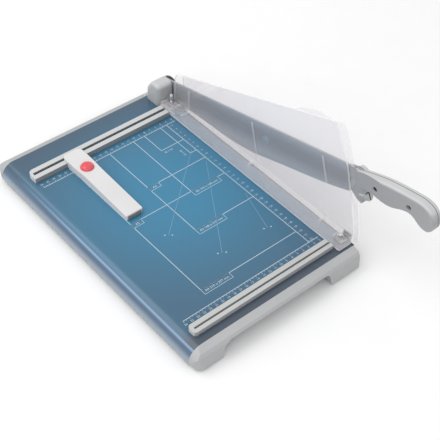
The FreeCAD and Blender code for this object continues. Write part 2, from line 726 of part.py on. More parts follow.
front_pad = [(post_x - boss_half, front_y1), (post_x - boss_half, front_y0), (wall_right, front_y0)]
front_pad = front_pad + [(wall_right, front_y1)]
bosses.append(slab_xy(front_pad, [boss_half / 2, boss_half / 2, 0, 0], foot_low, boss_top))
gussets = []
for share in (0.446, 0.843):
    y = -share * reach
    points = [(wall_left, foot_top), (wall_left - 2.4 * guard_thick, foot_top)]
    points = points + [(wall_left, foot_top + 2.4 * guard_thick)]
    gussets.append(slab_xz(points, same(points, 0), y - guard_thick / 2, y + guard_thick / 2))
ribs = []
rib_lines = [[(-0.4643, 0.03), (-0.467, 0.184), (-0.434, 0.447)], [(-0.86, 0.03), (-0.8407, 0.419), (-0.8063, 0.6285)]]
rib_lines.append([(-0.0535, 0.04), (-0.0535, 0.15), (-0.0535, 0.27)])
for line in rib_lines:
    low, mid, high = sized(line)
    rib_half = guard_thick / 3
    points = [(low[0] - rib_half, low[1]), (mid[0] - rib_half, mid[1]), (high[0] - rib_half, high[1])]
    points = points + [(high[0] + rib_half, high[1]), (mid[0] + rib_half, mid[1]), (low[0] + rib_half, low[1])]
    ribs.append(slab_yz(points, same(points, 0), wall_left - rib_half, wall_left + rib_half))
clamp = join([foot, wall] + bosses + gussets + ribs)
posts = []
springs = []
collar_low = boss_top + slip
collar_top = collar_low + 0.7 * post_radius
wire = 0.15 * post_radius
coil_radius = 0.5 * (post_radius + spring_room)
post_rises = [0.063 * tall, 0.02 * tall]
for y, rise in zip(post_ys, post_rises):
    clamp = clamp.cut(rod_z(spring_room, 0, ledge, post_x, y))
    clamp = clamp.cut(rod_z(post_radius + fit, 0, 2 * boss_top, post_x, y))
    neck = 0.8 * post_radius
    head_low = collar_top + rise - neck
    bolt = [(0.6 * post_radius, -3 * sheet), (0.6 * post_radius, 0), (post_radius, 0), (post_radius, collar_low)]
    bolt = bolt + [(1.45 * post_radius, collar_low), (1.45 * post_radius, collar_top), (neck, collar_top)]
    bolt = bolt + [(neck, head_low), (1.1 * post_radius, head_low), (1.1 * post_radius, head_low + 0.6 * neck)]
    bolt = bolt + [(neck, head_low + neck)]
    nut = hex_z(1.3 * post_radius, -3 * sheet, -sheet, post_x, y)
    posts.append(join([turned(bolt, post_x, y), nut]))
    table = table.cut(rod_z(0.6 * post_radius, -2 * sheet, sheet, post_x, y))
    housing = housing.cut(rod_z(spring_room, -sheet, 2 * step_height, post_x, y))
    springs.append(coil(wire, coil_radius, ledge - 2 * wire, 3.0, post_x, y, wire))
slot_wide = clamp_thick / 2
slot_left = wall_left - 1.4 * slot_wide - slot_wide
for share in (0.028, 0.006):
    clamp = clamp.cut(block(slot_left - slot_wide, wall_left - slip, share * reach - slot_wide / 2,
                            share * reach + slot_wide / 2, boss_top - slot_wide, 2 * boss_top))
nodes["clamp_guard"] = clamp
nodes["clamp_posts"] = Part.makeCompound(posts)
nodes["clamp_springs"] = Part.makeCompound(springs)
nodes["pivot_housing"] = housing

# Back stop with its slot, open underneath for the gauge's keys
stop_left = -0.933 * table_width
stop_right = -clamp_width - 0.5 * guard_thick - clear
key_width = 1.7 * slot_width
key_top = 0.58 * stop_height
slot_y = 0.5 * stop_depth
slot_start = stop_left + 0.014 * table_width
slot_end = stop_right + clear
plan = [(stop_left, 0), (stop_right, 0), (stop_right, stop_depth), (stop_left, stop_depth)]
stop = slab_xy(plan, [slot_width / 4, 0, 0, 0.4 * stop_depth], 0, stop_height)
half = slot_width / 2
stop = stop.cut(block(slot_start, slot_end, slot_y - half, slot_y + half, 0, stop_height))
half = key_width / 2
stop = stop.cut(block(slot_start, slot_end, slot_y - half, slot_y + half, 0, key_top))

# Front stop, a lower bar with a shallow groove
front_y = -0.923 * reach
stop2_left = -0.93 * table_width
plan = [(stop2_left, front_y), (stop_right, front_y)]
plan = plan + [(stop_right, front_y - front_stop_depth), (stop2_left, front_y - front_stop_depth)]
stop2 = slab_xy(plan, [0.3 * front_stop_depth, 0, 0, 0.3 * front_stop_depth], 0, front_stop_height)
groove_y = front_y - 0.53 * front_stop_depth
groove = 0.095 * front_stop_depth
stop2 = stop2.cut(block(stop2_left + slot_width, stop_right + clear, groove_y - groove,
                        groove_y + groove, 0.35 * front_stop_height, 2 * front_stop_height))
stop_screws = []
rear_line = 0.13 * stop_depth
spots = [(share, rear_line) for share in (0.9, 0.5, 0.14)]
spots = spots + [(share, 0.87 * stop_depth) for share in (0.9, 0.5, 0.14)]
spots = spots + [(share, front_y - 0.25 * front_stop_depth) for share in (0.9, 0.5, 0.14)]
for share, y in spots:
    x = -share * table_width
    radius = 0.8 * screw_radius
    head = rod_z(2 * radius, -sheet - radius, -sheet, x, y)
    stem = rod_z(radius, -sheet, 0.5 * front_stop_height, x, y)
    stop_screws.append(join([head, stem]))
    hole = rod_z(radius, -2 * sheet, 0.5 * front_stop_height, x, y)
    table = table.cut(hole)
    stop = stop.cut(hole)
    stop2 = stop2.cut(hole)
nodes["back_stop"] = stop
nodes["front_stop"] = stop2
nodes["stop_screws"] = Part.makeCompound(stop_screws)

# Gauge arm: a long bar in front of the stop with a head that reaches over it
gauge_x = -0.69 * table_width
gauge_left = gauge_x - gauge_width / 2
gauge_right = gauge_x + gauge_width / 2
gauge_low = 6 * slip
head_low = stop_height + 4 * slip
head_top = head_low + 0.47 * gauge_height
head_half = 0.55 * gauge_width
head_back = 0.665 * stop_depth
flare_front = -0.12 * gauge_length
arm_back = -6 * slip
big = 0.3 * gauge_width
small = gauge_width / 14
plan = [(gauge_left, -gauge_length), (gauge_right, -gauge_length), (gauge_right, 2.6 * flare_front)]
plan = plan + [(gauge_x + head_half, flare_front), (gauge_x + head_half, head_back)]
plan = plan + [(gauge_x - head_half, head_back), (gauge_x - head_half, flare_front)]
plan = plan + [(gauge_left, 2.6 * flare_front)]
arm = slab_xy(plan, [small, small, big, big, big, big, big, big], gauge_low, head_top)
side = [(arm_back, gauge_low), (-gauge_length, gauge_low), (-gauge_length, 0.9 * gauge_height)]
side = side + [(2.6 * flare_front, head_top), (head_back, head_top), (head_back, head_low)]
side = side + [(arm_back, head_low)]
rounds = [0, 0, small, 2 * big, small / 2, 0, 0]
arm = arm.common(slab_yz(side, rounds, gauge_x - 2 * head_half, gauge_x + 2 * head_half))
skin = 0.18 * gauge_height
button_y = -0.2 * gauge_length
rim = button_radius + 0.1 * button_radius
tunnel = 0.55 * gauge_width
arm_room = block(gauge_left + skin, gauge_right - skin, -gauge_length + skin,
                 2.6 * flare_front - rim, gauge_low - clear, gauge_height - skin)
arm = arm.cut(arm_room)
roof = head_top - skin
room = rod_z(rim + 2 * slip, gauge_low + skin, roof, gauge_x, button_y)
arm = arm.cut(room)
arm = arm.cut(rod_z(button_radius + 6 * slip, 0, 2 * head_top, gauge_x, button_y).common(
    block(left, 0, front, back, gauge_low + skin, 2 * head_top)))
latch_half = 0.14 * gauge_width
latch_low = stop_height + press_travel + 4 * slip
latch_top = roof - slip
latch_end = slot_y + slot_width / 2 - 4 * slip
passage = block(gauge_x - latch_half - 4 * slip, gauge_x + latch_half + 4 * slip, button_y,
                slot_y + slot_width / 2, latch_low - press_travel - 2 * slip, roof)
arm = arm.cut(passage)

# Guide keys under the head, hooked below the slot's lips
keys = []
key_half = 0.1 * gauge_width
for side in (-1, 1):
    x = gauge_x + side * 0.36 * gauge_width
    half = slot_width / 2 - 4 * slip
    stem = block(x - key_half, x + key_half, slot_y - half, slot_y + half, key_top - slip * 4, head_low)
    half = key_width / 2 - 6 * slip
    hook = block(x - key_half, x + key_half, slot_y - half, slot_y + half, 6 * slip, key_top - 4 * slip)
    keys.append(join([stem, hook]))
nodes["gauge_keys"] = Part.makeCompound(keys)

# Red button: a dome with a rim held under the roof, on a spring
dome_rise = 0.62 * gauge_height
dome_top = head_top + dome_rise
rim_top = roof - slip
rim_low = rim_top - skin
bands = [(1.0, 0.08), (0.955, 0.36), (0.86, 0.6), (0.7, 0.8), (0.46, 0.93), (0.2, 0.99)]
button_side = [(rim, rim_low), (rim, rim_top), (button_radius, rim_top)]
button_side = button_side + [(a * button_radius, head_top + b * dome_rise) for a, b in bands]
button = turned(button_side, gauge_x, button_y)
nodes["gauge_button"] = button

# Latch that the button pushes down, a flat arm hooked under the slot's lips
body = block(gauge_x - latch_half, gauge_x + latch_half, button_y, latch_end, latch_low, latch_top)
half = slot_width / 2 - 4 * slip
drop = block(gauge_x - latch_half, gauge_x + latch_half, slot_y - half, slot_y + half,
             key_top - 1.5 * skin, latch_top)
half = key_width / 2 - 6 * slip
hook = block(gauge_x - latch_half, gauge_x + latch_half, slot_y - half, slot_y + half,
             key_top - 1.5 * skin, key_top - slip)
nodes["button_latch"] = join([body, drop, hook]).cut(rod_z(rim, 0, dome_top, gauge_x, button_y))
nodes["gauge_arm"] = arm

# Spring under the button
spring_low = gauge_low + skin
spring_high = rim_low
spring_r = 0.55 * button_radius
wire2 = 0.07 * button_radius
spring_tall = spring_high - spring_low - 2 * wire2
nodes["button_spring"] = coil(wire2, spring_r, spring_tall, 2.5, gauge_x, button_y, spring_low + wire2)

# Dark tip on the front of the gauge
tip = block(gauge_left + 2 * skin, gauge_right - 2 * skin, -gauge_length - skin, -gauge_length,
            gauge_low + skin / 2, gauge_height - skin)
nodes["gauge_tip"] = tip

# Rail screws from inside the table into the rails
rail_screws = []
rail_screw = 0.7 * screw_radius
low_z = -0.17 * floor_drop
for share in (0.32, 0.68):
    x = -share * table_width
    inner = front + sheet
    head = rod_y(1.5 * rail_screw, inner, inner + rail_screw, x, low_z)
    stem = rod_y(rail_screw, inner - 0.5 * front_rail_depth, inner, x, low_z)
    rail_screws.append(join([head, stem]))
    hole = rod_y(rail_screw, inner - 0.5 * front_rail_depth, inner + clear, x, low_z)
    table = table.cut(hole)
    front_rail = front_rail.cut(hole)
    inner = back - sheet
    head = rod_y(1.5 * rail_screw, inner - rail_screw, inner, x, low_z)
    stem = rod_y(rail_screw, inner, inner + 0.5 * front_rail_depth, x, low_z)
    rail_screws.append(join([head, stem]))
    hole = rod_y(rail_screw, inner - clear, inner + 0.5 * front_rail_depth, x, low_z)
    table = table.cut(hole)
    back_rail = back_rail.cut(hole)
nodes["rail_screws"] = Part.makeCompound(rail_screws)

# Rubber pads in shallow seats under the feet
pads = []
pad_seat = pad_top + pad_height / 2
front_pad_y = front - 0.5 * front_rail_depth
back_pad_y = back + 0.5 * back_rail_depth
pad_r = min(pad_radius, 0.42 * back_rail_depth)
left_pad_x = (rail_left + left_foot) / 2
spots = [(left_pad_x, front_pad_y), (right_foot / 2, front_pad_y), (left_pad_x, back_pad_y)]
spots.append((-0.5 * housing_width, back_pad_y))
for x, y in spots:
    pad = rod_z(pad_r, -floor_drop, pad_seat, x, y)
    pads.append(pad)
    front_rail = front_rail.cut(rod_z(pad_r, -2 * floor_drop, pad_seat, x, y))
    back_rail = back_rail.cut(rod_z(pad_r, -2 * floor_drop, pad_seat, x, y))
    nodes["pivot_housing"] = nodes["pivot_housing"].cut(rod_z(pad_r, -2 * floor_drop, pad_seat, x, y))
nodes["rubber_feet"] = Part.makeCompound(pads)

# The pieces that later steps have drilled
nodes["front_rail"] = front_rail
nodes["back_rail"] = back_rail
nodes["table_sheet"] = table
nodes["blade"] = blade

# Put the middle of the floor area at the origin and save
total = FreeCAD.BoundBox()
for shape in nodes.values():
    total.add(shape.BoundBox)
shift = V(-(total.XMin + total.XMax) / 2, -(total.YMin + total.YMax) / 2, -total.ZMin)
print("shift", shift.x, shift.y, shift.z)
print("size", total.XLength, total.YLength, total.ZLength)
for name in sorted(nodes):
    shape = nodes[name].copy()
    shape.translate(shift)
    if not shape.isValid() or shape.Volume <= 0:
        print("PROBLEM", name, shape.isValid(), shape.Volume)
    print(name, len(shape.Solids), round(shape.Volume), [round(n, 1) for n in (
        shape.BoundBox.XMin - shift.x, shape.BoundBox.XMax - shift.x, shape.BoundBox.YMin - shift.y,
        shape.BoundBox.YMax - shift.y, shape.BoundBox.ZMin - shift.z, shape.BoundBox.ZMax - shift.z)])
    shape.exportStep("parts/" + name + ".step")
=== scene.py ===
import math

import bpy
from mathutils import Matrix, Vector


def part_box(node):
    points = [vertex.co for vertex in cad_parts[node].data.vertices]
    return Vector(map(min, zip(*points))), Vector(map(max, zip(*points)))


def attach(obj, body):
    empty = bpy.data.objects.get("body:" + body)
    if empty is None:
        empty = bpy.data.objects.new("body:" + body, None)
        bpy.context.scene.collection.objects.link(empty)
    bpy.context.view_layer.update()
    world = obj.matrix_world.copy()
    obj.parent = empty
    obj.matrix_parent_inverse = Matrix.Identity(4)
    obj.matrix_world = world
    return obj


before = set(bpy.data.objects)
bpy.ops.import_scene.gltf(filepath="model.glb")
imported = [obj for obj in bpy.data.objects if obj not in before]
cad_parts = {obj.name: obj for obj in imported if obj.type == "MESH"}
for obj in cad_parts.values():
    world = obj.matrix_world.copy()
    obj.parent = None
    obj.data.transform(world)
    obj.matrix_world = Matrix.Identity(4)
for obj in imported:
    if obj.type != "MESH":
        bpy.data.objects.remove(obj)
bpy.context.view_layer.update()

# Work frame: cutting edge at X 0, front of the back stop at Y 0, table top at Z 0
MM = 0.001
ORIGIN = Vector((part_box("lower_knife")[1][0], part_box("back_stop")[0][1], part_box("table_sheet")[1][2]))


def place(x, y, z):
    """Scene place of a point given in millimetres of the work frame."""
    return ORIGIN + Vector((x, y, z)) * MM


# Materials

GRAIN = 900.0
CLOUD = 25.0
CLOUD_DETAIL = 2.0
CLOUD_BAND = (0.3, 0.7)
SHINE_SWING = 0.04
BUMP_DISTANCE = 0.2 * MM

# Colour sockets of the Mix node, whose sockets share their names
MIX_A = 6
MIX_B = 7
MIX_RESULT = 2


class Maker:
    """Builds one node material step by step. Its places are metres in the work frame."""

    def __init__(self, name):
        self.mat = bpy.data.materials.new(name)
        self.mat.use_nodes = True
        self.tree = self.mat.node_tree
        self.tree.nodes.clear()
        self.out = self.add("ShaderNodeOutputMaterial")
        coord = self.add("ShaderNodeTexCoord")
        shift = self.add("ShaderNodeVectorMath", operation="SUBTRACT")
        self.link(coord.outputs["Object"], shift.inputs[0])
        shift.inputs[1].default_value = ORIGIN
        self.spot = shift.outputs[0]

    def add(self, kind, **options):
        node = self.tree.nodes.new(kind)
        for key, value in options.items():
            setattr(node, key, value)
        return node

    def link(self, start, end):
        self.tree.links.new(start, end)

    def put(self, socket, value):
        """Gives a socket another node's output, a colour or a number."""
        if hasattr(value, "is_output"):
            self.link(value, socket)
        elif isinstance(value, tuple) and len(value) == 3 and socket.type == "RGBA":
            socket.default_value = value + (1.0,)
        else:
            socket.default_value = value

    def noise(self, scale, detail=4.0, stretch=(1, 1, 1)):
        scaled = self.add("ShaderNodeVectorMath", operation="MULTIPLY")
        self.link(self.spot, scaled.inputs[0])
        scaled.inputs[1].default_value = stretch
        node = self.add("ShaderNodeTexNoise")
        self.link(scaled.outputs[0], node.inputs["Vector"])
        node.inputs["Scale"].default_value = scale
        node.inputs["Detail"].default_value = detail
        return node.outputs["Fac"]

    def span(self, value, low, high, to_low=0.0, to_high=1.0, smooth=False):
        """Runs from to_low at low to to_high at high, and stays there beyond."""
        node = self.add("ShaderNodeMapRange")
        if smooth:
            node.interpolation_type = "SMOOTHSTEP"
        self.put(node.inputs["Value"], value)
        node.inputs["From Min"].default_value = low
        node.inputs["From Max"].default_value = high
        node.inputs["To Min"].default_value = to_low
        node.inputs["To Max"].default_value = to_high
        return node.outputs["Result"]

    def math(self, operation, a, b=0.0):
        node = self.add("ShaderNodeMath", operation=operation)
        self.put(node.inputs[0], a)
        self.put(node.inputs[1], b)
        return node.outputs[0]

    def mix(self, share, a, b):
        node = self.add("ShaderNodeMix", data_type="RGBA")
        self.put(node.inputs["Factor"], share)
        self.put(node.inputs[MIX_A], a)
        self.put(node.inputs[MIX_B], b)
        return node.outputs[MIX_RESULT]

    def split(self, vector, name):
        node = self.add("ShaderNodeSeparateXYZ")
        self.link(vector, node.inputs[0])
        return node.outputs[name]

    def axis(self, name):
        return self.split(self.spot, name)

    def normal(self, name):
        return self.split(self.add("ShaderNodeNewGeometry").outputs["Normal"], name)

    def stripe(self, middle, core, edge):
        """Full within core of the plane X = middle, and gone at edge from it."""
        away = self.math("ABSOLUTE", self.math("SUBTRACT", self.axis("X"), middle))
        return self.span(away, edge, core)

    def shine(self, cloud, rough):
        return self.span(cloud, *CLOUD_BAND, rough - SHINE_SWING, rough + SHINE_SWING)

    def principled(self, colour, rough, metal, bump, depth, coat=0.0, spec=0.5):
        node = self.add("ShaderNodeBsdfPrincipled")
        self.put(node.inputs["Base Color"], colour)
        self.put(node.inputs["Roughness"], rough)
        self.put(node.inputs["Metallic"], metal)
        self.put(node.inputs["Coat Weight"], coat)
        self.put(node.inputs["Specular IOR Level"], spec)
        lift = self.add("ShaderNodeBump")
        lift.inputs["Strength"].default_value = depth
        lift.inputs["Distance"].default_value = BUMP_DISTANCE
        self.link(bump, lift.inputs["Height"])
        self.link(lift.outputs[0], node.inputs["Normal"])
        return node.outputs[0]

    def finish(self, shader):
        self.link(shader, self.out.inputs["Surface"])
        return self.mat


def plain(name, dark, light, rough, metal=0.0, depth=0.06, coat=0.0):
    """Even material with broad clouds from dark to light and a fine grain."""
    m = Maker(name)
    cloud = m.noise(CLOUD, CLOUD_DETAIL)
    colour = m.mix(m.span(cloud, *CLOUD_BAND), dark, light)
    return m.finish(m.principled(colour, m.shine(cloud, rough), metal, m.noise(GRAIN), depth, coat))


def enamel():
    """Blue enamel with painted light: a richer blue pool of painted reflection in the middle, greyer painted
    shade at both ends, and painted shade, a painted reflection and a painted highlight line along the left
    bend.
    """
    # Colours of the painted reflection pool, the painted shade at the ends and the painted light on the bend
    dull_blue, reflection_blue = (0.052, 0.13, 0.208), (0.036, 0.212, 0.362)
    end_shade_grey = (0.058, 0.082, 0.112)
    bend_shade, bend_reflection, bend_highlight = (0.085, 0.14, 0.215), (0.255, 0.315, 0.375), (0.27, 0.385, 0.55)
    rear_shade_most, highlight_most = 0.55, 0.9
    middle_x, middle_y = -120 * MM, -130 * MM
    reflection_radius, reflection_fade_radius = 20 * MM, 240 * MM
    front_start, front_end = -335 * MM, -352 * MM
    rear_start, rear_end = 0.0, 50 * MM
    highlight_start, highlight_full = 30 * MM, -120 * MM

    m = Maker("blue_enamel")
    x = m.math("SUBTRACT", m.axis("X"), middle_x)
    y = m.math("SUBTRACT", m.axis("Y"), middle_y)
    far = m.math("SQRT", m.math("ADD", m.math("MULTIPLY", x, x), m.math("MULTIPLY", y, y)))
    # Painted reflection: the blue turns richer near the middle
    near = m.span(far, reflection_radius, reflection_fade_radius, to_low=1.0, to_high=0.0, smooth=True)
    colour = m.mix(near, dull_blue, reflection_blue)
    # Painted shade: the enamel turns greyer towards the front and the rear
    front = m.span(m.axis("Y"), front_start, front_end)
    rear = m.span(m.axis("Y"), rear_start, rear_end, to_high=rear_shade_most)
    colour = m.mix(m.math("MAXIMUM", front, rear), colour, end_shade_grey)

    # Painted light on the left bend, by how far its face leans: first a painted highlight line, then painted
    # shade in a duller blue, then a paler painted reflection
    lean = m.math("ABSOLUTE", m.normal("X"))
    colour = m.mix(m.span(lean, low=0.62, high=0.8), colour, bend_shade)
    colour = m.mix(m.span(lean, low=0.88, high=1.0), colour, bend_reflection)
    line = m.math("MINIMUM", m.span(lean, low=0.55, high=0.63), m.span(lean, low=0.76, high=0.66))
    line = m.math("MULTIPLY", line, m.span(m.axis("Y"), highlight_start, highlight_full, to_high=highlight_most))
    colour = m.mix(line, colour, bend_highlight)
    grain = m.noise(scale=1400.0)
    return m.finish(m.principled(colour, rough=0.34, metal=0.0, bump=grain, depth=0.03, coat=0.3, spec=0.4))


def moulded(name, side, top, rough, seam=None):
    """Moulded plastic with painted light: paler where it faces up, as if lit from above, and darker on its
    sides, with a dark line where two halves meet at X = seam.
    """
    cloud_grey, most_cloud = (0.2, 0.2, 0.2), 0.06
    seam_dark = (0.06, 0.06, 0.06)

    m = Maker(name)
    cloud = m.noise(CLOUD, CLOUD_DETAIL)
    # Painted light: faces turned up take the lit top colour, the others the shaded side colour
    colour = m.mix(m.span(m.normal("Z"), low=0.2, high=0.75, smooth=True), side, top)
    colour = m.mix(m.span(cloud, *CLOUD_BAND, to_high=most_cloud), colour, cloud_grey)
    if seam is not None:
        colour = m.mix(m.stripe(seam, core=0.3 * MM, edge=0.6 * MM), colour, seam_dark)
    return m.finish(m.principled(colour, m.shine(cloud, rough), metal=0.0, bump=m.noise(GRAIN), depth=0.06))


def slotted(name, light, slot, middle):
    """Screw head with painted shade: a dark line along its slot, which lies in the plane X = middle."""
    m = Maker(name)
    # Painted shade: the slot's dark line
    colour = m.mix(m.stripe(middle, core=0.8 * MM, edge=1.1 * MM), light, slot)
    return m.finish(m.principled(colour, rough=0.35, metal=0.2, bump=m.noise(GRAIN), depth=0.05))


def ribbed(name, light, shade):
    """Pale plastic with painted shade: its front faces are painted in a darker shade, and the faces that look
    back half as much.
    """
    cloud_share, back_share = 0.96, 0.5

    m = Maker(name)
    cloud = m.noise(CLOUD, CLOUD_DETAIL)
    pale = m.mix(m.span(cloud, *CLOUD_BAND), tuple(cloud_share * part for part in light), light)
    # Painted shade on faces that look to the front and, half as much, to the back
    front = m.span(m.normal("Y"), low=-0.35, high=-0.8)
    back = m.span(m.normal("Y"), low=0.6, high=0.9)
    dim = m.math("MAXIMUM", front, m.math("MULTIPLY", back, back_share))
    colour = m.mix(dim, pale, shade)
    return m.finish(m.principled(colour, rough=0.42, metal=0.0, bump=m.noise(GRAIN), depth=0.05))


def clear(name, haze_wall, haze_foot, tint):
    """Clear plastic: mostly see-through with a milky haze, and a painted highlight along its edges and the
    foot's left rim.
    """
    haze_and_highlight_white = (0.95, 0.94, 0.955)
    foot_top = 16 * MM
    rim_outer, rim_inner = -24.3 * MM, -23.8 * MM
    fade = 0.5 * MM
    edge_highlight, rim_highlight = 0.55, 0.6
    least_gloss, most_gloss, gloss_power = 0.02, 0.35, 4.0

    m = Maker(name)
    through = m.add("ShaderNodeBsdfTransparent")
    m.put(through.inputs["Color"], tint)
    haze_and_highlight = m.principled(haze_and_highlight_white, rough=0.25, metal=0.0, bump=m.noise(scale=700.0), depth=0.02)
    side = m.math("ABSOLUTE", m.normal("X"))
    rise = m.math("ABSOLUTE", m.normal("Z"))
    low = m.span(m.axis("Z"), foot_top + fade, foot_top - fade)
    flat = m.math("MAXIMUM", side, m.math("MULTIPLY", rise, low))
    # Painted highlight: the wall's edge faces turn pale
    edge = m.span(flat, low=0.75, high=0.55)
    body = m.math("ADD", m.math("MULTIPLY", low, haze_foot - haze_wall), haze_wall)
    share = m.math("MAXIMUM", body, m.math("MULTIPLY", edge, edge_highlight))
    # Painted highlight along the foot's left rim
    beyond = m.span(m.axis("X"), rim_inner, rim_outer)
    rim = m.math("MINIMUM", beyond, m.span(side, low=0.5, high=0.7, to_high=rim_highlight))
    mixed = m.add("ShaderNodeMixShader")
    m.put(mixed.inputs[0], m.math("MAXIMUM", share, rim))
    m.link(through.outputs[0], mixed.inputs[1])
    m.link(haze_and_highlight, mixed.inputs[2])

    gloss = m.add("ShaderNodeBsdfGlossy")
    gloss.inputs["Roughness"].default_value = 0.05
    facing = m.add("ShaderNodeLayerWeight")
    facing.inputs["Blend"].default_value = 0.5
    slant = m.math("POWER", facing.outputs["Facing"], gloss_power)
    gleam = m.add("ShaderNodeMixShader")
    m.link(m.span(slant, 0.0, 1.0, least_gloss, most_gloss), gleam.inputs[0])
    m.link(mixed.outputs[0], gleam.inputs[1])
    m.link(gloss.outputs[0], gleam.inputs[2])
    return m.finish(gleam.outputs[0])


def blade_steel():
    """Ground steel with a painted highlight in a soft band along the top, and lighter towards the cutting
    edge.
    """
    middle_grey, top_highlight_grey, edge_grey = (0.262, 0.272, 0.30), (0.41, 0.43, 0.47), (0.46, 0.47, 0.50)
    neck_grey = (0.37, 0.375, 0.385)
    bare_metal = 0.55
    blade_slope = 0.2286
    top_start, top_full = 28 * MM, 46 * MM
    edge_start, edge_full = 18 * MM, -2 * MM
    tang_start, tang_full = -340.5 * MM, -341.5 * MM

    m = Maker("blade_steel")
    across = m.math("ADD", m.axis("Z"), m.math("MULTIPLY", m.axis("Y"), blade_slope))
    # Painted highlight: a soft lighter band along the top
    top = m.span(across, top_start, top_full, smooth=True)
    colour = m.mix(top, middle_grey, top_highlight_grey)
    colour = m.mix(m.span(across, edge_start, edge_full), colour, edge_grey)
    # The tang in front of the guard wears the neck's grey, as the moulding round it does
    tang = m.span(m.axis("Y"), tang_start, tang_full)
    colour = m.mix(tang, colour, neck_grey)
    metal = m.span(tang, 0.0, 1.0, to_low=bare_metal, to_high=0.0)
    grain = m.noise(scale=120.0, stretch=(1, 30, 1))
    return m.finish(m.principled(colour, rough=0.42, metal=metal, bump=grain, depth=0.05))


SEAM_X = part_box("handle_near")[1][0] - ORIGIN.x
SLOT_X = (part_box("stop_screw")[0][0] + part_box("stop_screw")[1][0]) / 2 - ORIGIN.x

MATS = {
    "enamel": enamel(),
    # Each moulded part's top colour is painted light and its side colour painted shade
    "rail": moulded("rail_plastic", side=(0.385, 0.395, 0.40), top=(0.45, 0.46, 0.465), rough=0.5),
    "back_rail": moulded("back_rail_plastic", side=(0.385, 0.395, 0.40), top=(0.425, 0.43, 0.435), rough=0.5),
    "housing": moulded("housing_plastic", side=(0.45, 0.46, 0.465), top=(0.54, 0.545, 0.55), rough=0.48),
    "rubber": plain("rubber_black", dark=(0.012, 0.012, 0.012), light=(0.02, 0.02, 0.02), rough=0.8),
    "steel": plain("zinc_steel", dark=(0.42, 0.43, 0.45), light=(0.5, 0.51, 0.53), rough=0.35, metal=0.9),
    "knife": plain("knife_steel", dark=(0.05, 0.055, 0.06), light=(0.08, 0.085, 0.09), rough=0.4, metal=0.7),
    "blade": blade_steel(),
    "chrome": plain("bright_metal", dark=(0.62, 0.62, 0.63), light=(0.68, 0.68, 0.69), rough=0.14, metal=1.0),
    # Near-black screw heads: painted shade of the recesses they sit in
    "dark_bolt": plain("dark_bolt", dark=(0.008, 0.008, 0.009), light=(0.014, 0.014, 0.016), rough=0.5,
                       metal=0.3),
    "black": plain("cap_black", dark=(0.012, 0.013, 0.018), light=(0.02, 0.02, 0.028), rough=0.35, coat=0.1),
    "grip": moulded("grip_plastic", side=(0.325, 0.33, 0.34), top=(0.56, 0.565, 0.57), rough=0.42,
                    seam=SEAM_X),
    "stop_knob": slotted("stop_screw_plastic", light=(0.42, 0.425, 0.43), slot=(0.04, 0.04, 0.04),
                         middle=SLOT_X),
    "stop": ribbed("stop_plastic", light=(0.585, 0.60, 0.605), shade=(0.25, 0.255, 0.26)),
    "front_stop": ribbed("front_stop_plastic", light=(0.53, 0.54, 0.54), shade=(0.34, 0.345, 0.35)),
    "gauge": plain("gauge_plastic", dark=(0.69, 0.68, 0.685), light=(0.72, 0.71, 0.72), rough=0.35),
    "red": plain("button_red", dark=(0.70, 0.05, 0.07), light=(0.74, 0.07, 0.09), rough=0.25, coat=0.5),
    "tip": plain("tip_grey", dark=(0.19, 0.18, 0.17), light=(0.22, 0.21, 0.20), rough=0.5),
    "clear_near": clear("clear_near", haze_wall=0.10, haze_foot=0.22, tint=(0.985, 0.98, 0.985)),
    "clear_far": clear("clear_far", haze_wall=0.08, haze_foot=0.08, tint=(0.985, 0.98, 0.985)),
    "print": plain("pale_print", dark=(0.50, 0.60, 0.68), light=(0.56, 0.66, 0.74), rough=0.5),
    "faint": plain("faint_print", dark=(0.16, 0.32, 0.45), light=(0.18, 0.35, 0.48), rough=0.5),
}

# Material of each node
WEAR = {
    "table_sheet": "enamel",
    "front_rail": "rail",
    "back_rail": "back_rail",
    "pivot_housing": "housing",
    "pivot_cap": "black",
    "blade": "blade",
    "lower_knife": "knife",
    "handle_near": "grip",
    "handle_far": "grip",
    "handle_screws": "dark_bolt",
    "stop_screw": "stop_knob",
    "clamp_guard": "clear_near",
    "far_guard": "clear_far",
    "back_stop": "stop",
    "front_stop": "front_stop",
    "gauge_arm": "gauge",
    "gauge_keys": "gauge",
    "gauge_tip": "tip",
    "gauge_button": "red",
    "rubber_feet": "rubber",
    "blade_stud": "chrome",
    "clamp_posts": "chrome",
    "rail_screws": "chrome",
    "edge_screws": "chrome",
    "bracket_bolts": "chrome",
    "guard_screws": "chrome",
    "stop_screws": "chrome",
    "cap_screws": "chrome",
    "neck_screw": "steel",
    "table_braces": "steel",
    "pivot_bracket": "steel",
    "pivot_bolt": "steel",
    "pivot_washer": "steel",
    "disc_spring": "steel",
    "pivot_nut": "steel",
    "guard_brackets": "steel",
    "clamp_springs": "steel",
    "button_spring": "steel",
    "button_latch": "steel",
}
SHARP_ANGLE = math.radians(32)
for name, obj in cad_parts.items():
    obj.data.materials.clear()
    obj.data.materials.append(MATS[WEAR[name]])
    obj.data.shade_smooth()
    obj.data.set_sharp_from_angle(angle=SHARP_ANGLE)

# Printed rules, format outlines and numbers on the table, in millimetres of the work frame

PRINT_RISE = 0.05

LINE = 0.9
TICK_LINE = 0.45
BOX_LINE = 0.6
ANGLE_LINE = 0.7
MARK = 1.8

RULE_LEFT = -260
RULE_RIGHT = -27.5
BACK_RULE = -14
FRONT_RULE = -322.5
SIDE_RULE = -44

STEP = 5
CENTIMETRE = 10
LONG_TICK = 3.2
SHORT_TICK = 2.0
ACROSS_TICKS = range(30, 261, STEP)
ALONG_TICKS = range(15, 321, STEP)
ACROSS_NUMBERS = range(3, 27)
ALONG_NUMBERS = range(2, 33)
BACK_NUMBERS = -7.4
FRONT_NUMBERS = -328.8
SIDE_NUMBERS = -37.2
ACROSS_SIZE = 4.6
ALONG_SIZE = 4.4
LABEL_SIZE = 5.4
CARD_SIZE = 4.6

